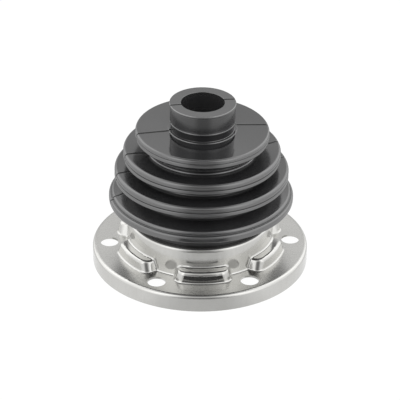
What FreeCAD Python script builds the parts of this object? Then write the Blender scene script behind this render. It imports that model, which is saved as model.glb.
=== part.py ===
import FreeCAD, Part
import math
import os
from FreeCAD import Vector

# Rubber bellows boot with its pressed steel flange cap, for a flanged drive joint.
# Millimetres, +Z up along the shaft. The origin is the centre of the skirt's bottom edge.

# Steel cap: the sheet, the joint it fits over and its bolts. Bends are given on their inner side.
sheet = 1.0
joint_diameter = 100.0
skirt_height = 8.0
skirt_bend = 0.7
bolt_count = 6
bolt_hole = 8.5
bolt_inset = 7.0
collar_inset = 8.5
collar_height = 23.1
lip_bend = 0.8
lip_width = 2.2

# Steel cap: the raised bosses between the bolts, measured on the outside of the sheet
boss_height = 5.4
boss_depth = 5.0
boss_hole_land = 3.9
boss_end_draft = 1.9
boss_front_draft = 0.7
boss_corner = 3.2
boss_crown_bend = 0.8
root_fillet = 1.0

# Rubber: the wall, and the heights above the steel lip
wall = 2.2
neck_bore = 21.0
neck_length = 13.6
clamp_band_diameter = 30.9
clamp_band_width = 9.2
groove_depth = 0.65
neck_edge = 0.4
root_radius = 0.5
lining_radius = 0.3
throat_step = 0.7
throat_height = 2.1
bead_depth = 7.3
bead_clearance = 0.2

# Rubber: each fold's rim, from the shaft end down, as radius, top and bottom above the lip
rims = [
    (31.1, 44.9, 40.9),
    (36.7, 36.5, 30.3),
    (40.7, 26.2, 20.7),
    (43.3, 13.4, 8.7),
]
# The crease below each rim but the last, as radius and height above the lip
creases = [
    (23.6, 34.2),
    (28.2, 25.4),
    (31.6, 15.2),
]
rim_top_radius = 2.8
rim_bottom_radius = 1.0
first_rim_top_radius = 1.5
crease_radius = 0.8

# Worked out from the sizes above
skirt_radius = joint_diameter / 2 + sheet
bolt_circle_radius = joint_diameter / 2 - bolt_inset
collar_radius = bolt_circle_radius - collar_inset
mouth_radius = collar_radius - sheet - lip_width
throat_radius = mouth_radius + throat_step
bolt_pitch = 360.0 / bolt_count
boss_reach = collar_radius + boss_depth
boss_top = skirt_height + boss_height
half_pitch_width = bolt_circle_radius * math.sin(math.radians(bolt_pitch / 2))
boss_foot_half_width = half_pitch_width - bolt_hole / 2 - boss_hole_land
lip_top = collar_height
lip_underside = collar_height - sheet
clamp_band_radius = clamp_band_diameter / 2
groove_radius = clamp_band_radius - groove_depth
axis_origin = Vector(0, 0, 0)
axis_up = Vector(0, 0, 1)
tiny = 0.001


def outline(corners):
    """Closed run of straight lines through (radius, height, rounding) corners with tangent arcs."""
    pieces = []
    arrivals = []
    count = len(corners)
    for index in range(count):
        before, here, after = (
            Vector(corners[k % count][0], 0, corners[k % count][1]) for k in (index - 1, index, index + 1)
        )
        rounding = corners[index][2]
        back = (before - here).normalize()
        onward = (after - here).normalize()
        half_angle = back.getAngle(onward) / 2
        reach = rounding / math.tan(half_angle)
        arrive = here + back * reach
        leave = here + onward * reach
        if rounding > 0:
            bisector = (back + onward).normalize()
            middle = here + bisector * (rounding / math.sin(half_angle) - rounding)
            pieces.append(Part.Arc(arrive, middle, leave).toShape())
        arrivals.append((arrive, leave))
    for index in range(count):
        start = arrivals[index][1]
        end = arrivals[(index + 1) % count][0]
        if start.distanceToPoint(end) > tiny:
            pieces.append(Part.makeLine(start, end))
    return Part.Face(Part.Wire(Part.__sortEdges__(pieces)))


def turned(corners):
    """Solid of revolution about the shaft's axis."""
    return outline(corners).revolve(axis_origin, axis_up, 360)


def inside_of(corners, thickness, least_rounding):
    """The same run of corners on the inner side of a wall, without its first and last corner.

    Going down the outside of the boot, the inner side is on the right. A corner moves along the
    mitre of its two walls, and its rounding grows or shrinks by the thickness.
    """
    moved = []
    for before, here, after in zip(corners, corners[1:], corners[2:]):
        arriving = Vector(here[0] - before[0], 0, here[1] - before[1]).normalize()
        leaving = Vector(after[0] - here[0], 0, after[1] - here[1]).normalize()
        right_of_arriving = Vector(arriving.z, 0, -arriving.x)
        right_of_leaving = Vector(leaving.z, 0, -leaving.x)
        mitre = (right_of_arriving + right_of_leaving) * (thickness / (1 + arriving.dot(leaving)))
        turns_right = leaving.dot(right_of_arriving) > 0
        rounding = max(here[2] - thickness, least_rounding) if turns_right else here[2] + thickness
        moved.append((here[0] + mitre.x, here[1] + mitre.z, rounding))
    return moved


def boss(inset):
    """One raised boss on +X, as a solid block that starts inside the collar.

    inset 0 gives the outside of the sheet, and the sheet's thickness gives its inside.
    """
    top = boss_top - inset
    foot = skirt_height / 2
    start = collar_radius / 2
    front_slope = boss_front_draft / boss_height
    end_slope = boss_end_draft / boss_height

    def reach_at(height):
        return boss_reach + (boss_top - height) * front_slope - inset * math.hypot(1, front_slope)

    def half_width_at(height):
        width = boss_foot_half_width - (height - skirt_height) * end_slope
        return width - inset * math.hypot(1, end_slope)

    ring = turned([(start, foot, 0), (reach_at(foot), foot, 0), (reach_at(top), top, 0), (start, top, 0)])
    ends = [
        Vector(start, side * half_width_at(height), height)
        for side, height in ((-1, foot), (1, foot), (1, top), (-1, top))
    ]
    wedge = Part.Face(Part.makePolygon(ends + ends[:1])).extrude(Vector(boss_reach, 0, 0))
    block = ring.common(wedge).Solids[0]

    def is_front_corner(edge):
        centre = edge.CenterOfMass
        upright = edge.BoundBox.ZLength > (top - foot) / 2
        return upright and centre.x > (start + boss_reach) / 2 and abs(centre.y) > sheet

    def is_crown(edge):
        return edge.BoundBox.ZMin > top - tiny and edge.BoundBox.XMax > start + tiny

    corners = [edge for edge in block.Edges if is_front_corner(edge)]
    block = block.makeFillet(boss_corner + sheet - inset, corners)
    crown = [edge for edge in block.Edges if is_crown(edge)]
    return block.makeFillet(boss_crown_bend + sheet - inset, crown)


def pressing(inset):
    """The cap as a solid form, for one side of its sheet."""
    radius = skirt_radius - inset
    top = skirt_height - inset
    collar = collar_radius - inset
    lip = collar_height - inset
    form = turned([
        (0, -inset, 0),
        (radius, -inset, 0),
        (radius, top, skirt_bend + sheet - inset),
        (collar, top, 0),
        (collar, lip, lip_bend + sheet - inset),
        (0, lip, 0),
    ])
    one_boss = boss(inset)
    bosses = []
    for index in range(bolt_count):
        copy = one_boss.copy()
        copy.rotate(axis_origin, axis_up, (index + 0.5) * bolt_pitch)
        bosses.append(copy)
    form = form.fuse(bosses).removeSplitter()

    def is_on_flat(edge):
        box = edge.BoundBox
        level = abs(box.ZMin - top) < tiny and abs(box.ZMax - top) < tiny
        reach = max(math.hypot(vertex.X, vertex.Y) for vertex in edge.Vertexes)
        return level and reach < bolt_circle_radius

    def is_on_collar(edge):
        span = edge.LastParameter - edge.FirstParameter
        points = [edge.valueAt(edge.FirstParameter + share * span) for share in (0.1, 0.5, 0.9)]
        near = all(abs(math.hypot(point.x, point.y) - collar) < 10 * tiny for point in points)
        return near and max(point.z for point in points) < boss_top + tiny

    roots = [edge for edge in form.Edges if is_on_flat(edge) or is_on_collar(edge)]
    return form.makeFillet(root_fillet + inset, roots)


def steel_flange():
    """Pressed cap: skirt, bolt flange with its bosses, and collar with its lip turned in."""
    cap = pressing(0).cut(pressing(sheet))
    mouth = Part.makeCylinder(mouth_radius, 3 * sheet, Vector(0, 0, lip_underside - sheet))
    holes = []
    for index in range(bolt_count):
        angle = math.radians(index * bolt_pitch)
        centre = Vector(bolt_circle_radius * math.cos(angle), bolt_circle_radius * math.sin(angle), 0)
        holes.append(Part.makeCylinder(bolt_hole / 2, skirt_height + sheet, centre))
    return cap.cut([mouth] + holes)


def rubber_bellows():
    """One moulded boot: neck with its clamp band, four folds, throat, and a bead under the lip."""
    shelf = lip_top + rims[0][1]
    neck_top = shelf + neck_length
    clamp_band_foot = neck_top - clamp_band_width
    folds = [(groove_radius, shelf, root_radius)]
    for index, (radius, top, bottom) in enumerate(rims):
        top_radius = rim_top_radius if index else first_rim_top_radius
        folds.append((radius, lip_top + top, top_radius))
        folds.append((radius, lip_top + bottom, rim_bottom_radius))
        if index < len(creases):
            folds.append((creases[index][0], lip_top + creases[index][1], crease_radius))
    folds.append((throat_radius, lip_top + throat_height, crease_radius))
    foot = (throat_radius, lip_top, 0)
    lining = inside_of(folds + [foot], wall, lining_radius)

    bead_bottom = lip_underside - bead_depth
    bead_radius = collar_radius - sheet
    neck = [
        (neck_bore / 2, neck_top, 0),
        (clamp_band_radius, neck_top, neck_edge),
        (clamp_band_radius, clamp_band_foot, 0),
        (groove_radius, clamp_band_foot, 0),
    ]
    bead = [
        (mouth_radius, lip_top, 0),
        (mouth_radius, lip_underside, 0),
        (bead_radius, lip_underside, lip_bend + bead_clearance),
        (bead_radius, bead_bottom, root_radius),
        (lining[-1][0], bead_bottom, root_radius),
    ]
    inner_mouth = (neck_bore / 2, shelf - wall, root_radius)
    return turned(neck + folds + [foot] + bead + lining[::-1] + [inner_mouth])


parts = {
    "rubber_bellows": rubber_bellows(),
    "steel_flange": steel_flange(),
}
os.makedirs("parts", exist_ok=True)
for name, shape in parts.items():
    solid = shape.Solids[0]
    solid.exportStep("parts/" + name + ".step")
    print(name, "solids", len(shape.Solids), "valid", solid.isValid(), "volume", round(solid.Volume, 1))
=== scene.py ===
import math

import bpy
import numpy as np
from mathutils import Matrix, Vector


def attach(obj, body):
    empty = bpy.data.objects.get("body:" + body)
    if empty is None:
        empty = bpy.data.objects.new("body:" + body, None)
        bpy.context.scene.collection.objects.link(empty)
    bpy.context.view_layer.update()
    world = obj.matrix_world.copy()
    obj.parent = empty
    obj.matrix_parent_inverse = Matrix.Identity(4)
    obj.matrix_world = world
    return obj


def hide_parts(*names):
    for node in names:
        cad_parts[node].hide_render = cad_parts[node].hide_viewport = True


# Flanged rubber bellows boot: a moulded rubber boot in a pressed steel cap.
# Sizes are written in millimetres and turned into metres where a mesh or a lamp is made.

mm = 0.001
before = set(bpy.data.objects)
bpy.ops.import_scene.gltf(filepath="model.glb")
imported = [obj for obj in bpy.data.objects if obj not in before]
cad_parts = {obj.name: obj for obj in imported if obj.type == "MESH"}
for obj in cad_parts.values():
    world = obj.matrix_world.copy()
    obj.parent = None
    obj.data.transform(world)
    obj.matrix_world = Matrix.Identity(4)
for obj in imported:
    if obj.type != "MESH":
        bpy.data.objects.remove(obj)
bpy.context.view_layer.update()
print("frame loaded:", ", ".join(sorted(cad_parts)))


def placed(name, data):
    # A new object in the scene.
    made = bpy.data.objects.new(name, data)
    bpy.context.scene.collection.objects.link(made)
    return made


# Shader maths

class Tree:
    # One material's or world's node tree. node() makes any node: its settings first, then its inputs.
    def __init__(self, owner):
        owner.use_nodes = True
        self.tree = owner.node_tree
        self.tree.nodes.clear()

    def node(self, kind, settings=None, inputs=None):
        made = self.tree.nodes.new(kind)
        for name, value in (settings or {}).items():
            setattr(made, name, value)
        for name, value in (inputs or {}).items():
            self.feed(made.inputs[name], value)
        return made

    def feed(self, socket, value):
        if isinstance(value, Wire):
            self.tree.links.new(value.socket, socket)
        elif isinstance(value, bpy.types.NodeSocket):
            self.tree.links.new(value, socket)
        else:
            socket.default_value = value

    def wire(self, node, output=0):
        return Wire(self, node.outputs[output])


class Wire:
    # A number carried by a socket. Python's operators on it add Math nodes.
    def __init__(self, tree, socket):
        self.tree = tree
        self.socket = socket

    def math(self, operation, *others, clamp=False):
        made = self.tree.node("ShaderNodeMath", {"operation": operation, "use_clamp": clamp}, {0: self})
        for index, other in enumerate(others):
            self.tree.feed(made.inputs[index + 1], other)
        return self.tree.wire(made)

    def flipped(self, operation, other):
        made = self.tree.node("ShaderNodeMath", {"operation": operation}, {0: other, 1: self})
        return self.tree.wire(made)

    def __add__(self, other):
        return self.math("ADD", other)

    def __radd__(self, other):
        return self.math("ADD", other)

    def __sub__(self, other):
        return self.math("SUBTRACT", other)

    def __rsub__(self, other):
        return self.flipped("SUBTRACT", other)

    def __mul__(self, other):
        return self.math("MULTIPLY", other)

    def __rmul__(self, other):
        return self.math("MULTIPLY", other)

    def __truediv__(self, other):
        return self.math("DIVIDE", other)

    def __pow__(self, other):
        return self.math("POWER", other)

    def clamped(self):
        return self.math("ADD", 0.0, clamp=True)

    def larger(self, other):
        return self.math("MAXIMUM", other)

    def ease(self, low, high, atLow=0.0, atHigh=1.0):
        # Goes smoothly from one value to the other while the number goes from low to high.
        made = self.tree.node(
            "ShaderNodeMapRange", {"interpolation_type": "SMOOTHSTEP"},
            {"Value": self, "From Min": low, "From Max": high, "To Min": atLow, "To Max": atHigh})
        return self.tree.wire(made)

    def band(self, start, full, fade, end):
        # Eases from 0 at start to 1 at full, stays, and eases from 1 at fade to 0 at end.
        return self.ease(start, full) * self.ease(fade, end, 1.0, 0.0)


def mixColours(tree, share, first, second):
    made = tree.node("ShaderNodeMix", {"data_type": "RGBA"}, {0: share, 6: first, 7: second})
    return made.outputs[2]


def mixShaders(tree, share, first, second):
    # Ends a material: its surface is the first shader where the share is 0, and the second where it is 1.
    mixed = tree.node("ShaderNodeMixShader", {}, {0: share, 1: first.outputs[0], 2: second.outputs[0]})
    tree.node("ShaderNodeOutputMaterial", {}, {"Surface": mixed.outputs[0]})


def xyzOf(tree, place):
    split = tree.node("ShaderNodeSeparateXYZ", {}, {0: place})
    return [tree.wire(split, axis) for axis in "XYZ"]


def fromAxis(x, y):
    # The square root of x^2 + y^2.
    return (x * x + y * y) ** 0.5


def offsetBy(start, offsets):
    return [start + offset for offset in offsets]


def noise(tree, place, scale, detail, roughness, distortion=0.0):
    made = tree.node("ShaderNodeTexNoise", {}, {
        "Vector": place, "Scale": scale, "Detail": detail, "Roughness": roughness, "Distortion": distortion})
    return tree.wire(made, "Fac")


# Rubber bellows

bellows = {
    "lip": 23.1,                # height of the steel lip that the rubber stands on
    "neckBore": 10.1,           # radius
    "neckTop": 81.6,            # height
    "neckLip": (15.45, 80.8),   # radius, underside
    "clampSeat": (15.15, 72.7),             # radius, underside
    "seatRing": (15.32, 72.45, 72.1),       # radius, top, underside
    "neckGroove": 14.75,        # radius
    "neckFoot": (16.0, 0.35),   # radius, height above the flat top
    "shelfRise": 0.3,           # of the flat top towards the neck
    # Each fold's rim from its top down, as corners: radius, height above the lip, rounding
    "rims": [
        [(31.1, 45.0, 1.2), (31.1, 40.9, 0.9)],
        [(36.7, 35.3, 1.5), (36.7, 30.3, 1.0)],
        [(40.7, 25.6, 1.6), (40.7, 20.7, 1.0)],
        [(41.7, 13.6, 1.3), (42.1, 12.1, 0.2), (43.3, 11.3, 1.0), (43.3, 8.7, 1.0)],
    ],
    # A crevice parts each rim in two: radius, height above the lip, depth
    "crevices": [(31.1, 42.7, 0.18), (36.7, 32.3, 0.31), (40.7, 22.7, 0.33), (42.1, 12.1, 0.22)],
    "creviceHalfWidth": 0.34,
    "creviceCrowd": (2.2, 0.45),            # in half widths: how far points crowd round it, and their step
    # Deeper crevices get painted shade: it darkens the rubber's colour and takes away its gloss there
    "creviceSeen": (0.1, 0.35),             # the depth that still looks plain, and how much more looks dark
    # The crease below each rim but the last: radius, height above the lip, rounding
    "creases": [(23.6, 34.2, 0.8), (28.0, 26.2, 0.8), (31.4, 16.1, 0.8)],
    "liningRounding": 0.3,      # the least one
    "throat": (32.0, 2.1),      # radius, height above the lip
    "throatRounding": 0.8,
    "lipMouth": 31.3,           # radius of the rubber inside the steel lip
    "bead": (33.5, 22.1, 14.8),             # radius, top, foot
    "beadTopRounding": 1.0,
    "innerRounding": 0.5,
    "wall": 2.2,
    "edgeRounding": 0.2,        # moulded edges are never sharp
    "lipTaper": 0.3,            # height over which the neck's lip runs into the seat
    "stepSlant": 0.1,           # keeps the neck's short steps from being square
    "flatRuns": (0.3, 0.06, 3.0),           # shortest that gets points, end pieces, longest piece
    "arcStep": (10.0, 30.0),    # degrees, outside and inside
    "columns": 160,             # round the axis
    # Where the mould's halves met, on the right and on the left: radius, distance behind the axis
    "mouldLines": [
        (1, [(10.0, 2.6), (31.0, 3.5), (36.7, 6.0), (40.7, 8.6), (43.3, 9.6)]),
        (-1, [(10.0, -2.0), (31.0, -5.3), (36.7, -6.8), (40.7, -7.5), (43.3, -7.3)]),
    ],
    "mouldLineDepth": 0.40,
    "mouldLineWidth": 0.32,
    "mouldLineFoot": 0.5,       # height above the lip where the line ends
    # Columns beside a mould line, in its widths at a radius, and the degrees beside it without even columns
    "mouldLineColumns": (0.0, 0.3, 0.6, 0.9, 1.3, 1.8, 2.5),
    "mouldLineColumnsAt": 31.0,
    "mouldLineClear": 1.5,
    "mouldLineBend": 0.9,       # how far round the columns bend to follow it, in radians
    # How the boot hangs: height above the lip, shift to the right, slopes to the right and to the front
    "hang": [(0.0, 0.20, 0.0, 0.0), (44.9, 0.80, 0.0145, 0.0275), (58.5, 0.85, 0.004, 0.007)],
}


def roundedOutline(corners, arcSteps, flatRuns):
    # Straight runs between (radius, height, rounding) corners. Each corner gives way to an arc that touches
    # both runs at rounding / tan(half angle) from it, round a centre at rounding / sin(half angle) on the
    # bisector. Short end pieces keep the flats flat. Returns the points in a closed row.
    shortest, endPiece, longest = flatRuns
    corners = np.array(corners, float)
    points, rounding = corners[:, :2], corners[:, 2]
    back = np.roll(points, 1, 0) - points
    onward = np.roll(points, -1, 0) - points
    back /= np.linalg.norm(back, axis=1)[:, None]
    onward /= np.linalg.norm(onward, axis=1)[:, None]
    halfAngle = np.arccos(np.clip((back * onward).sum(1), -1, 1)) / 2
    reach = rounding / np.tan(halfAngle)
    arrive = points + back * reach[:, None]
    leave = points + onward * reach[:, None]
    bisector = back + onward
    bisector /= np.linalg.norm(bisector, axis=1)[:, None]
    centre = points + bisector * (rounding / np.sin(halfAngle))[:, None]
    rows = []
    for index in range(len(points)):
        first, last = arrive[index] - centre[index], leave[index] - centre[index]
        start = math.atan2(first[1], first[0])
        sweep = (math.atan2(last[1], last[0]) - start + math.pi) % (2 * math.pi) - math.pi
        count = max(2, math.ceil(abs(math.degrees(sweep)) / arcSteps[index]))
        angles = start + sweep * np.linspace(0, 1, count + 1)
        rows.append(centre[index] + rounding[index] * np.column_stack([np.cos(angles), np.sin(angles)]))
        begin, end = leave[index], arrive[(index + 1) % len(points)]
        length = np.linalg.norm(end - begin)
        if length > shortest:
            inner = np.linspace(0, 1, max(1, math.ceil(length / longest)) + 1)[1:-1]
            shares = np.concatenate([[endPiece / length], inner, [1 - endPiece / length]])
            rows.append(begin + (end - begin) * shares[:, None])
    return np.concatenate(rows)


def innerCorners(corners, wall, least):
    # The corners of the boot's outside, going down, moved one wall inwards. Each moves along its mitre, by
    # (right of the run before + right of the run after) * wall / (1 + the product of both directions).
    moved = []
    for before, here, after in zip(corners, corners[1:], corners[2:]):
        arriving = np.subtract(here[:2], before[:2]) / math.dist(here[:2], before[:2])
        leaving = np.subtract(after[:2], here[:2]) / math.dist(after[:2], here[:2])
        rightOfArriving = np.array([arriving[1], -arriving[0]])
        rightOfLeaving = np.array([leaving[1], -leaving[0]])
        place = np.array(here[:2]) + (rightOfArriving + rightOfLeaving) * wall / (1 + arriving @ leaving)
        turnsRight = leaving @ rightOfArriving > 0
        rounding = max(here[2] - wall, least) if turnsRight else here[2] + wall
        moved.append((place[0], place[1], rounding))
    return moved


def crowded(outline, spots, reach, step):
    # The same outline, with points every step where it passes within reach of a spot.
    run = np.roll(outline, -1, 0) - outline
    length = np.linalg.norm(run, axis=1)
    middle = outline + run / 2
    away = np.linalg.norm(middle[:, None] - spots, axis=2).min(1)
    counts = np.where(away < reach + length / 2, np.ceil(length / step), 1).astype(int)
    number = np.arange(counts.sum()) - np.repeat(np.cumsum(counts) - counts, counts)
    share = number / np.repeat(counts, counts)
    return np.repeat(outline, counts, 0) + np.repeat(run, counts, 0) * share[:, None]


def outwardOf(outline):
    # The outward normals of a closed row of points: the way from neighbour to neighbour, turned 90 degrees.
    along = np.roll(outline, -1, 0) - np.roll(outline, 1, 0)
    along /= np.linalg.norm(along, axis=1)[:, None]
    return np.column_stack([-along[:, 1], along[:, 0]])


def foldCorners(size):
    # The outside from the neck's foot down to the throat.
    throat, throatHeight = size["throat"]
    creases = [[crease] for crease in size["creases"]] + [[(throat, throatHeight, size["throatRounding"])]]
    shelf = size["rims"][0][0][1] + size["shelfRise"]
    corners = [(size["neckFoot"][0] + size["stepSlant"], shelf, size["edgeRounding"] / 2)]
    for rim, crease in zip(size["rims"], creases):
        corners += rim + crease
    corners.append((throat, 0.0, size["edgeRounding"]))
    return [(radius, size["lip"] + height, rounding) for radius, height, rounding in corners]


def neckCorners(size):
    # The outside from the bore's edge down to the neck's foot.
    edge, groove = size["edgeRounding"], size["neckGroove"]
    lipRadius, lipFoot = size["neckLip"]
    seatRadius, seatFoot = size["clampSeat"]
    ringRadius, ringTop, ringFoot = size["seatRing"]
    footRadius, footRise = size["neckFoot"]
    footTop = size["lip"] + size["rims"][0][0][1] + size["shelfRise"] + footRise
    return [
        (size["neckBore"], size["neckTop"], edge),
        (lipRadius, size["neckTop"], 2 * edge),
        (lipRadius, lipFoot, edge),
        (seatRadius, lipFoot - size["lipTaper"], edge),
        (seatRadius, seatFoot, edge),
        (ringRadius, ringTop, edge / 2),
        (ringRadius, ringFoot, edge / 2),
        (groove, ringFoot - size["stepSlant"], edge),
        (groove, footTop, edge),
        (footRadius, footTop, edge),
    ]


def insideCorners(size):
    # From the throat's foot round the bead under the steel lip, and up the lining to the bore.
    edge, lip, inner = size["edgeRounding"], size["lip"], size["innerRounding"]
    beadRadius, beadTop, beadFoot = size["bead"]
    lining = innerCorners(foldCorners(size), size["wall"], size["liningRounding"])
    return [
        (size["lipMouth"], lip, edge),
        (size["lipMouth"], beadTop, edge),
        (beadRadius, beadTop, size["beadTopRounding"]),
        (beadRadius, beadFoot, inner),
        (lining[-1][0], beadFoot, inner),
    ] + lining[::-1] + [(size["neckBore"], lip + size["rims"][0][0][1] - size["wall"], inner)]


def bellowsOutline(size):
    # The rounded outline of all corners. Beside a crevice it sinks along its own normal, by
    # depth * exp(-(distance to the crevice / half width)^2). Returns it with how far it sinks.
    outside, inside = neckCorners(size) + foldCorners(size), insideCorners(size)
    fine, coarse = size["arcStep"]
    arcSteps = [fine] * len(outside) + [coarse] * len(inside)
    outline = roundedOutline(outside + inside, arcSteps, size["flatRuns"])
    crevices, halfWidth = np.array(size["crevices"]), size["creviceHalfWidth"]
    spots = crevices[:, :2] + [0, size["lip"]]
    reach, step = size["creviceCrowd"]
    outline = crowded(outline, spots, reach * halfWidth, step * halfWidth)
    away = np.linalg.norm(outline[:, None] - spots, axis=2)
    sink = (crevices[:, 2] * np.exp(-(away / halfWidth) ** 2)).max(1)[:, None]
    return outline - sink * outwardOf(outline), sink


def gridMesh(name, points):
    # A mesh over a grid of points, rows by columns, that closes on itself both ways.
    rows, columns = points.shape[:2]
    number = np.arange(rows * columns).reshape(rows, columns)
    below, beside = np.roll(number, -1, 0), np.roll(number, -1, 1)
    faces = np.stack([number, below, np.roll(below, -1, 1), beside], -1).reshape(-1, 4)
    mesh = bpy.data.meshes.new(name)
    mesh.vertices.add(rows * columns)
    mesh.vertices.foreach_set("co", (points * mm).astype(np.float32).ravel())
    mesh.loops.add(faces.size)
    mesh.loops.foreach_set("vertex_index", faces.astype(np.int32).ravel())
    mesh.polygons.add(len(faces))
    mesh.polygons.foreach_set("loop_start", np.arange(0, faces.size, 4, dtype=np.int32))
    mesh.polygons.foreach_set("use_smooth", np.ones(len(faces), bool))
    mesh.update(calc_edges=True)
    mesh.validate()
    return placed(name, mesh)


def columnAngles(size):
    # Even angles round the axis, and at each mould line a crowd of angles instead of the nearest even ones.
    even = np.linspace(0, 2 * math.pi, size["columns"], endpoint=False)
    even = even[np.abs(np.sin(even)) > math.sin(math.radians(size["mouldLineClear"]))]
    beside = np.array(size["mouldLineColumns"]) * size["mouldLineWidth"] / size["mouldLineColumnsAt"]
    beside = np.concatenate([-beside[:0:-1], beside])
    return np.sort(np.concatenate([even, beside, math.pi + beside]) % (2 * math.pi))


def makeBellows(size):
    # The outline turned about the axis: x = r cos(angle), y = r sin(angle), z from the outline. A mould line
    # runs at y = behind(r) on its side, and the columns near it bend by asin(behind / r) to follow it. The
    # surface sinks there along its own normal, by depth * exp(-(distance to the line / width)^2). Then the
    # boot hangs: x shifts to the right, and z grows by y * front slope - x * right slope.
    outline, sink = bellowsOutline(size)
    outward = outwardOf(outline)
    radius, height = outline[:, :1], outline[:, 1:]
    angles = columnAngles(size)
    bent = angles + 0 * radius
    mouldLine = 0 * bent
    reach = size["mouldLineBend"]
    for side, places in size["mouldLines"]:
        fromLine = (angles + (side > 0) * math.pi) % (2 * math.pi) - math.pi
        bend = np.cos(np.clip(fromLine, -reach, reach) / reach * math.pi / 2) ** 2
        bent = bent + side * np.arcsin(np.interp(radius, *zip(*places)) / radius) * bend
        mouldLine = mouldLine + np.exp(-(radius * fromLine / size["mouldLineWidth"]) ** 2)
    mouldLine = np.where(height > size["lip"] + size["mouldLineFoot"], mouldLine, 0)
    radius = radius - size["mouldLineDepth"] * mouldLine * outward[:, :1]
    height = height - size["mouldLineDepth"] * mouldLine * outward[:, 1:]
    levels, *hangs = np.array(size["hang"]).T
    shift, right, front = (np.interp(height - size["lip"], levels, values) for values in hangs)
    x = radius * np.cos(bent)
    y = radius * np.sin(bent)
    z = height + y * front - x * right
    boot = gridMesh("bellows_boot", np.stack([x + shift, y, z], -1))
    plain, more = size["creviceSeen"]
    # The groove value marks the crevices and the mould lines, where the rubber gets painted shade
    groove = np.maximum(mouldLine, (sink - plain) / more)
    for name, values in (("groove", groove), ("upward", outward[:, 1:] + 0 * groove)):
        attribute = boot.data.attributes.new(name, "FLOAT", "POINT")
        attribute.data.foreach_set("value", values.astype(np.float32).ravel())
    return boot


boot = makeBellows(bellows)
print("bellows boot:", 2 * len(boot.data.polygons), "triangles")


# Rubber finish, with painted shade and painted light in places

rubberFinish = {
    "colour": (0.018, 0.018, 0.019, 1),
    "bloom": (0.030, 0.030, 0.031, 1),      # the pale film that rubber gets
    "roughness": 0.20,
    "roughnessSpread": 0.10,
    "gloss": 1.0,                           # specular level
    "ior": 1.78,
    "dullGloss": 0.18,                      # specular level where the rubber is dull
    # How dull it is in places, from 0 to 1
    "seatDullness": 0.6,
    # Painted shade: the throat loses its gloss so that it looks dark in the gap under the last fold
    "throatPaintedShade": 0.9,
    "dustDullness": 0.28,                   # of the dust that settles on the tops of the folds
    "dustySlope": (0.93, 0.995),            # the normal's z where dust begins, and where it is full
    "seatFade": 1.0,                        # at the top and the foot of the clamp's seat
    # The flat top, which the mould polished: heights about it where it begins, is full, fades and ends
    "discBand": (-1.4, -0.8, 1.2, 1.8),
    "discRoughness": 0.09,
    "discCalm": 0.6,                        # share of the spread that it lacks
    # The rings round the neck begin at heights about the flat top, and end at heights about the seat's foot
    "ringsBegin": (0.3, 0.6),
    "ringsEnd": (-0.1, 0.0),
    # A painted highlight: a lighter grey along the neck's top edge and, fainter, on the rings round the neck
    "paintedEdgeHighlight": (0.16, 0.16, 0.16, 1),    # round the neck's top
    "highlightOnRings": 0.12,                  # share of it on the rings
    "highlightRadius": (-0.3, -0.1),           # about the radius of the neck's lip
    "highlightHeight": (-0.5, -0.2),           # about the neck's top
    # Painted light: the bore is a lighter grey, for what its inside mirrors
    "paintedBoreLight": (0.034, 0.034, 0.035, 1),
    "boreRadius": (0.1, 0.4),               # about the bore's radius
    "neckGrooveRadius": (0.15, 0.5),        # about the groove's radius
    # Painted shade: the crevices and the mould lines turn near black and dull, by the groove value
    "paintedGrooveShade": (0.004, 0.004, 0.004, 1),
    "grooveSeen": (0.10, 0.65),             # the groove value where dark begins, and where it is full
    "grooveShare": 0.9,
    "grooveRoughness": 0.4,
    # Patterns: scale, detail, roughness, distortion
    "cloud": (60.0, 4.0, 0.6),
    "fine": (900.0, 3.0, 0.6),
    "scuff": (260.0, 4.0, 0.65, 0.6),
    "scuffStretch": (1.0, 1.0, 7.0),
    "scuffTurn": (0.5, 0.3, 0.0),           # radians
    # Bloom in a pattern: from and to which level, and how much there
    "bloomInCloud": (0.4, 0.75, 0.0, 0.5),
    "bloomInScuff": (0.5, 0.8, 0.0, 0.35),
    "grain": (0.12, 0.00008, 0.8),          # strength, metres, share of the scuffs in it
}


def ownValue(tree, name, low, high):
    # Eases from 0 to 1 while one of the mesh's own values goes from low to high.
    return tree.wire(tree.node("ShaderNodeAttribute", {"attribute_name": name}), "Fac").ease(low, high)


def rubberPlaces(tree, place, finish, size):
    # Where the rubber differs, from 0 to 1, by its height and by its distance from the neck's axis.
    x, y, height = (axis / mm for axis in xyzOf(tree, place))
    radius = fromAxis(x - size["hang"][-1][1], y)
    throatHeight = size["throat"][1]
    lipRadius, lipFoot = size["neckLip"]
    seatFoot = size["clampSeat"][1]
    flatTop = size["lip"] + size["rims"][0][0][1]
    discBand = offsetBy(flatTop, finish["discBand"])
    rings = height.band(*offsetBy(flatTop, finish["ringsBegin"]), *offsetBy(seatFoot, finish["ringsEnd"]))
    topEdge = height.ease(*offsetBy(size["neckTop"], finish["highlightHeight"]))
    outer = radius.ease(*offsetBy(lipRadius, finish["highlightRadius"]))
    neckGroove = radius.ease(*offsetBy(size["neckGroove"], finish["neckGrooveRadius"]), 1.0, 0.0)
    return {
        # Where the bore gets painted light
        "bore": radius.ease(*offsetBy(size["neckBore"], finish["boreRadius"]), 1.0, 0.0),
        # Where the painted highlight falls: the neck's top edge, and more faintly the rings
        "edgeHighlight": (outer * (topEdge + rings * finish["highlightOnRings"])).clamped(),
        "disc": height.band(*discBand),
        "folds": height.ease(*discBand[2:], 1.0, 0.0),
        "neckGroove": neckGroove * rings,
        "seat": height.band(seatFoot, seatFoot + finish["seatFade"], lipFoot - finish["seatFade"], lipFoot),
        # The throat, which gets painted shade by losing its gloss
        "throat": height.ease(size["lip"] + throatHeight, size["lip"] + 2 * throatHeight, 1.0, 0.0),
    }


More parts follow.
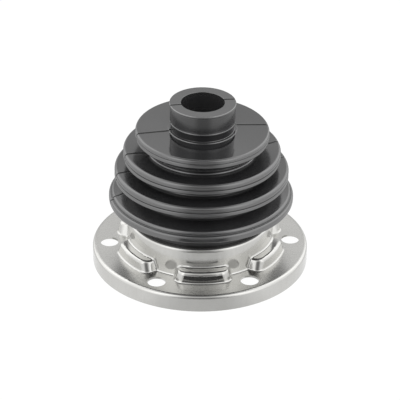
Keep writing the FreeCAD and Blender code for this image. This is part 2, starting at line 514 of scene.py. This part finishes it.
def rubberMaterial(finish, size):
    made = bpy.data.materials.new("moulded_rubber_boot")
    tree = Tree(made)
    place = tree.node("ShaderNodeTexCoord").outputs["Object"]
    places = rubberPlaces(tree, place, finish, size)
    groove = ownValue(tree, "groove", *finish["grooveSeen"])
    dust = ownValue(tree, "upward", *finish["dustySlope"]) * places["folds"] * finish["dustDullness"]
    cloud = noise(tree, place, *finish["cloud"])
    fine = noise(tree, place, *finish["fine"])
    stretched = tree.node("ShaderNodeMapping", {}, {
        "Vector": place, "Scale": finish["scuffStretch"], "Rotation": finish["scuffTurn"]})
    scuff = noise(tree, stretched.outputs[0], *finish["scuff"])

    bloom = (cloud.ease(*finish["bloomInCloud"]) + scuff.ease(*finish["bloomInScuff"])).clamped()
    colour = mixColours(tree, bloom, finish["colour"], finish["bloom"])
    # Painted shade in the crevices and along the mould lines
    colour = mixColours(tree, groove * finish["grooveShare"], colour, finish["paintedGrooveShade"])
    # Painted light inside the bore
    colour = mixColours(tree, places["bore"], colour, finish["paintedBoreLight"])
    # Painted highlight on the neck's top edge and its rings
    colour = mixColours(tree, places["edgeHighlight"], colour, finish["paintedEdgeHighlight"])

    # Two patterns with a mean of about a half each, less 1, spread about 0.
    base, disc = finish["roughness"], places["disc"]
    spread = (cloud + scuff - 1.0) * finish["roughnessSpread"] * (1.0 - finish["discCalm"] * disc)
    roughness = base + disc * (finish["discRoughness"] - base) + spread + groove * finish["grooveRoughness"]
    strength, depth, scuffShare = finish["grain"]
    grain = tree.node("ShaderNodeBump", {}, {
        "Strength": strength, "Distance": depth, "Height": fine + scuff * scuffShare})

    # Painted shade by lost gloss in the throat, the crevices and the mould lines; the clamp's seat, the
    # neck's groove and the dusty fold tops are dull too
    dull = (places["seat"] * finish["seatDullness"]).larger(places["throat"] * finish["throatPaintedShade"])
    dull = dull.larger(groove).larger(places["neckGroove"]).larger(dust)
    glossy, matt = (tree.node("ShaderNodeBsdfPrincipled", {}, {
        "Base Color": colour, "Roughness": roughness, "Normal": grain.outputs[0],
        "Specular IOR Level": finish[level], "IOR": finish["ior"]}) for level in ("gloss", "dullGloss"))
    mixShaders(tree, dull, glossy, matt)
    return made


boot.data.materials.append(rubberMaterial(rubberFinish, bellows))
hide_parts("rubber_bellows")
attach(boot, "root")
print("rubber finish done")


# Steel finish

steelFinish = {
    "colour": (0.61, 0.607, 0.590, 1),
    "shade": (0.555, 0.551, 0.532, 1),
    "roughness": 0.13,
    "roughnessSpread": 0.05,
    # The bolt flange, as rolled: heights where its flat begins, is full, fades and ends
    "flatBand": (7.7, 7.98, 8.02, 8.4),
    "flatRoughness": 0.27,
    # Patterns: scale, detail, roughness
    "cloud": (45.0, 3.0, 0.55),
    "fine": (700.0, 3.0, 0.6),
    "lines": (140.0, 3.0, 0.6),
    "lineStretch": (1.0, 14.0, 1.0),
    # Shade in a pattern: from and to which level, and how much there
    "shadeInCloud": (0.35, 0.7, 0.0, 0.7),
    "shadeInLines": (0.35, 0.7, 0.0, 0.3),
    "grain": (0.04, 0.00005),               # strength, metres
}


def steelMaterial(finish):
    made = bpy.data.materials.new("pressed_steel_sheet")
    tree = Tree(made)
    place = tree.node("ShaderNodeTexCoord").outputs["Object"]
    rolled = tree.node("ShaderNodeMapping", {}, {"Vector": place, "Scale": finish["lineStretch"]})
    lines = noise(tree, rolled.outputs[0], *finish["lines"])
    cloud = noise(tree, place, *finish["cloud"])
    fine = noise(tree, place, *finish["fine"])
    shade = (cloud.ease(*finish["shadeInCloud"]) + lines.ease(*finish["shadeInLines"])).clamped()
    colour = mixColours(tree, shade, finish["colour"], finish["shade"])
    height = xyzOf(tree, place)[2] / mm
    onFlat = height.band(*finish["flatBand"]) * (finish["flatRoughness"] - finish["roughness"])
    roughness = finish["roughness"] + onFlat + (cloud + lines - 1.0) * finish["roughnessSpread"]
    strength, depth = finish["grain"]
    grain = tree.node("ShaderNodeBump", {}, {
        "Strength": strength, "Distance": depth, "Height": fine + lines})
    shader = tree.node("ShaderNodeBsdfPrincipled", {}, {
        "Base Color": colour, "Metallic": 1.0, "Roughness": roughness, "Normal": grain.outputs[0]})
    tree.node("ShaderNodeOutputMaterial", {}, {"Surface": shader.outputs[0]})
    return made


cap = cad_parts["steel_flange"]
steel = steelMaterial(steelFinish)
for slot in cap.material_slots:
    slot.material = steel
print("steel finish done")


# Studio

studio = {
    "floorSize": 6000.0,
    "floorColour": (0.85, 0.85, 0.85, 1),
    "worldFill": 0.35,          # what lights matt surfaces
    # What shiny surfaces mirror, by the degrees round from the camera and the degrees up: bright light boxes
    # on both sides, a dark wall in front with a bright strip above it, a wall behind, and a dark ceiling
    "boxes": (1.20, 1.42),      # low and high
    "boxesEnds": (1.25, (50.0, 75.0), (95.0, 120.0)),       # gain at both ends of a box, and where
    "wall": 0.22,
    "wallAcross": (8.0, 48.0),
    "strip": 0.72,
    "stripUp": (14.0, 46.0),
    "behind": (0.68, 1.05),     # low and high
    "behindUp": (24.0, 38.0),
    "behindFrom": (140.0, 166.0),
    "ceiling": 0.12,
    "ceilingFrom": (50.0, 84.0),
    # The table as shiny surfaces mirror it, near the object and far from it: in front, at the sides, behind
    "nearTable": (0.66, 1.05, 0.55),
    "farTable": (0.42, 1.05, 0.62),
    "tableAcross": (10.0, 40.0),            # degrees round where the front gives way to the sides
    "tableBehind": (90.0, 160.0),
    "nearTableReach": (74.0, 110.0),        # distances from the axis where near gives way to far
    "floorSeen": (0.93, 1.05),  # share of glow in the floor that the camera sees, and its strength
    "floorMirrored": 0.80,      # share of glow in the floor that shiny surfaces mirror
    "lampTarget": 35.0,         # height that the lamps face
    # Lamps for matt surfaces: degrees round from the camera, degrees up, distance, width, height, watts
    "lamps": {
        "left_lamp": (-75.0, 20.0, 900.0, 1260.0, 1000.0, 5.8),
        "right_lamp": (75.0, 20.0, 900.0, 1260.0, 1000.0, 5.8),
        "front_lamp": (0.0, 68.0, 1000.0, 900.0, 650.0, 2.4),
    },
    # Cards in front that only shiny surfaces see, from the object's side: distance from the axis and height
    # of both long edges, width, grey
    "cards": {
        "near_table_card": ((74.0, 0.5), (102.0, 0.5), 76.0, 0.02),
        "front_boss_card": ((44.0, 8.3), (44.0, 10.0), 24.0, 0.05),
    },
}


def degreesRound(x, y):
    # The angle round from the camera's side: acos(-y / sqrt(x^2 + y^2)).
    return (-1.0 * y / fromAxis(x, y)).math("ARCCOSINE") * (180 / math.pi)


def mirroredRoom(x, y, z, size):
    # Of the two angles: the wall eases to the strip with the angle up, that front eases to the boxes with
    # the angle round, then to what is behind, and all of it to the ceiling.
    around = degreesRound(x, y)
    up = z.math("ARCSINE") * (180 / math.pi)
    front = up.ease(*size["stripUp"], size["wall"], size["strip"])
    boxes = up.ease(*size["stripUp"], *size["boxes"])
    gain, nearEnd, farEnd = size["boxesEnds"]
    boxes = boxes * (around.ease(*nearEnd, gain, 1.0) + around.ease(*farEnd, 0.0, gain - 1.0))
    behind = up.ease(*size["behindUp"], *size["behind"])
    boxes = boxes + (behind - boxes) * around.ease(*size["behindFrom"])
    level = front + (boxes - front) * around.ease(*size["wallAcross"])
    return level + (size["ceiling"] - level) * up.ease(*size["ceilingFrom"])


def mirroredTable(x, y, size):
    # The near and the far table each ease from front to sides and then to behind. They mix by the distance
    # from the axis.
    around = degreesRound(x, y)
    across, behindFrom = size["tableAcross"], size["tableBehind"]
    near, far = (
        around.ease(*across, front, sides) - around.ease(*behindFrom, 0.0, sides - behind)
        for front, sides, behind in (size["nearTable"], size["farTable"]))
    reach = [distance * mm for distance in size["nearTableReach"]]
    return near + (far - near) * fromAxis(x, y).ease(*reach)


def flatPiece(name, corners):
    # One flat face that belongs to the studio.
    mesh = bpy.data.meshes.new(name)
    mesh.from_pydata([tuple(c * mm for c in corner) for corner in corners], [], [tuple(range(len(corners)))])
    made = placed(name, mesh)
    return made


def rays(tree):
    # What the camera sees, straight or through something clear, and what shiny surfaces mirror, as 0 or 1.
    ray = tree.node("ShaderNodeLightPath")
    seen = tree.wire(ray, "Is Camera Ray").larger(tree.wire(ray, "Is Transmission Ray"))
    return seen, tree.wire(ray, "Is Glossy Ray")


def makeFloor(size):
    half = size["floorSize"] / 2
    corners = [(-half, -half, 0), (half, -half, 0), (half, half, 0), (-half, half, 0)]
    floor = flatPiece("studio_floor", corners)
    made = bpy.data.materials.new("studio_floor_paper")
    tree = Tree(made)
    seen, mirrored = rays(tree)
    x, y = xyzOf(tree, tree.node("ShaderNodeTexCoord").outputs["Object"])[:2]
    share, strength = size["floorSeen"]
    level = mirrored * mirroredTable(x, y, size) + (1.0 - mirrored) * strength
    matt = tree.node("ShaderNodeBsdfDiffuse", {}, {"Color": size["floorColour"]})
    glow = tree.node("ShaderNodeEmission", {}, {"Color": level})
    mixShaders(tree, (seen * share).larger(mirrored * size["floorMirrored"]), matt, glow)
    floor.data.materials.append(made)


def makeWorld(size):
    world = bpy.data.worlds.new("studio_tent")
    bpy.context.scene.world = world
    tree = Tree(world)
    seen, mirrored = rays(tree)
    x, y, z = xyzOf(tree, tree.node("ShaderNodeTexCoord").outputs["Generated"])
    level = mirrored * mirroredRoom(x, y, z, size) + (1.0 - mirrored) * size["worldFill"]
    level = seen + (1.0 - seen) * level
    background = tree.node("ShaderNodeBackground", {}, {"Color": level, "Strength": 1.0})
    tree.node("ShaderNodeOutputWorld", {}, {"Surface": background.outputs[0]})


def makeLamp(name, target, azimuth, elevation, distance, width, height, power):
    # An area lamp that faces a height on the axis, from (sin a cos e, -cos a cos e, sin e) * distance away.
    # The azimuth a is 0 on the camera's side and grows to the right, and e is the elevation.
    a, e = math.radians(azimuth), math.radians(elevation)
    away = Vector((math.sin(a) * math.cos(e), -math.cos(a) * math.cos(e), math.sin(e)))
    data = bpy.data.lights.new(name, "AREA")
    data.shape = "RECTANGLE"
    data.size, data.size_y = width * mm, height * mm
    data.energy = power
    lamp = placed(name, data)
    lamp.location = Vector((0, 0, target * mm)) + away * distance * mm
    lamp.rotation_mode = "QUATERNION"
    lamp.rotation_quaternion = away.to_track_quat("Z", "Y")
    lamp.visible_camera = lamp.visible_glossy = False


def makeCard(name, level, corners):
    # A card of one even grey that only shiny surfaces see, and only from its face: behind, it is clear.
    card = flatPiece(name, corners)
    made = bpy.data.materials.new(name)
    tree = Tree(made)
    glow = tree.node("ShaderNodeEmission", {}, {"Color": (1, 1, 1, 1), "Strength": level})
    clear = tree.node("ShaderNodeBsdfTransparent")
    fromBehind = tree.wire(tree.node("ShaderNodeNewGeometry"), "Backfacing")
    mixShaders(tree, fromBehind, glow, clear)
    card.data.materials.append(made)
    card.visible_camera = card.visible_diffuse = card.visible_shadow = card.visible_transmission = False


def makeCards(cards):
    for name, ((near, nearHeight), (far, farHeight), width, level) in cards.items():
        across = width / 2
        corners = [
            (-across, -far, farHeight),
            (across, -far, farHeight),
            (across, -near, nearHeight),
            (-across, -near, nearHeight),
        ]
        makeCard("studio_" + name, level, corners)


makeFloor(studio)
makeWorld(studio)
for name, values in studio["lamps"].items():
    makeLamp(name, studio["lampTarget"], *values)
makeCards(studio["cards"])
print("studio done")


# Camera

viewpoint = {
    "place": (-38.0, -878.2, 521.0),
    "pitch": 29.187,            # degrees down
    "yaw": 0.008,               # degrees to the left of the axis
    "roll": 0.428,              # turns the picture clockwise
    "focalPixels": 2135.6,      # focal length in pixels of the 400 pixel frame
    "framePixels": 400,
    "sensor": 36.0,
    "clip": (10.0, 20000.0),    # nearest and farthest that it sees
}


def makeCamera(values):
    # Looks towards the axis, turned by the yaw: forward = level cos(pitch) - z sin(pitch). Right and up, at
    # square angles to it, turn about it by the roll.
    place = Vector(values["place"])
    level = Vector((-place.x, -place.y, 0)).normalized()
    level.rotate(Matrix.Rotation(math.radians(values["yaw"]), 3, "Z"))
    pitch, roll = math.radians(values["pitch"]), math.radians(values["roll"])
    forward = level * math.cos(pitch) + Vector((0, 0, -math.sin(pitch)))
    right = forward.cross(Vector((0, 0, 1))).normalized()
    up = right.cross(forward)
    turnedRight = right * math.cos(roll) + up * math.sin(roll)
    turnedUp = up * math.cos(roll) - right * math.sin(roll)
    data = bpy.data.cameras.new("camera")
    data.sensor_width = values["sensor"]
    data.lens = values["focalPixels"] * values["sensor"] / values["framePixels"]
    data.clip_start, data.clip_end = (distance * mm for distance in values["clip"])
    camera = placed("camera", data)
    axes = Matrix((turnedRight, turnedUp, -forward)).transposed()
    camera.matrix_world = Matrix.Translation(place * mm) @ axes.to_4x4()
    bpy.context.scene.camera = camera


makeCamera(viewpoint)
bpy.context.scene.view_settings.view_transform = "Standard"
print("camera done")
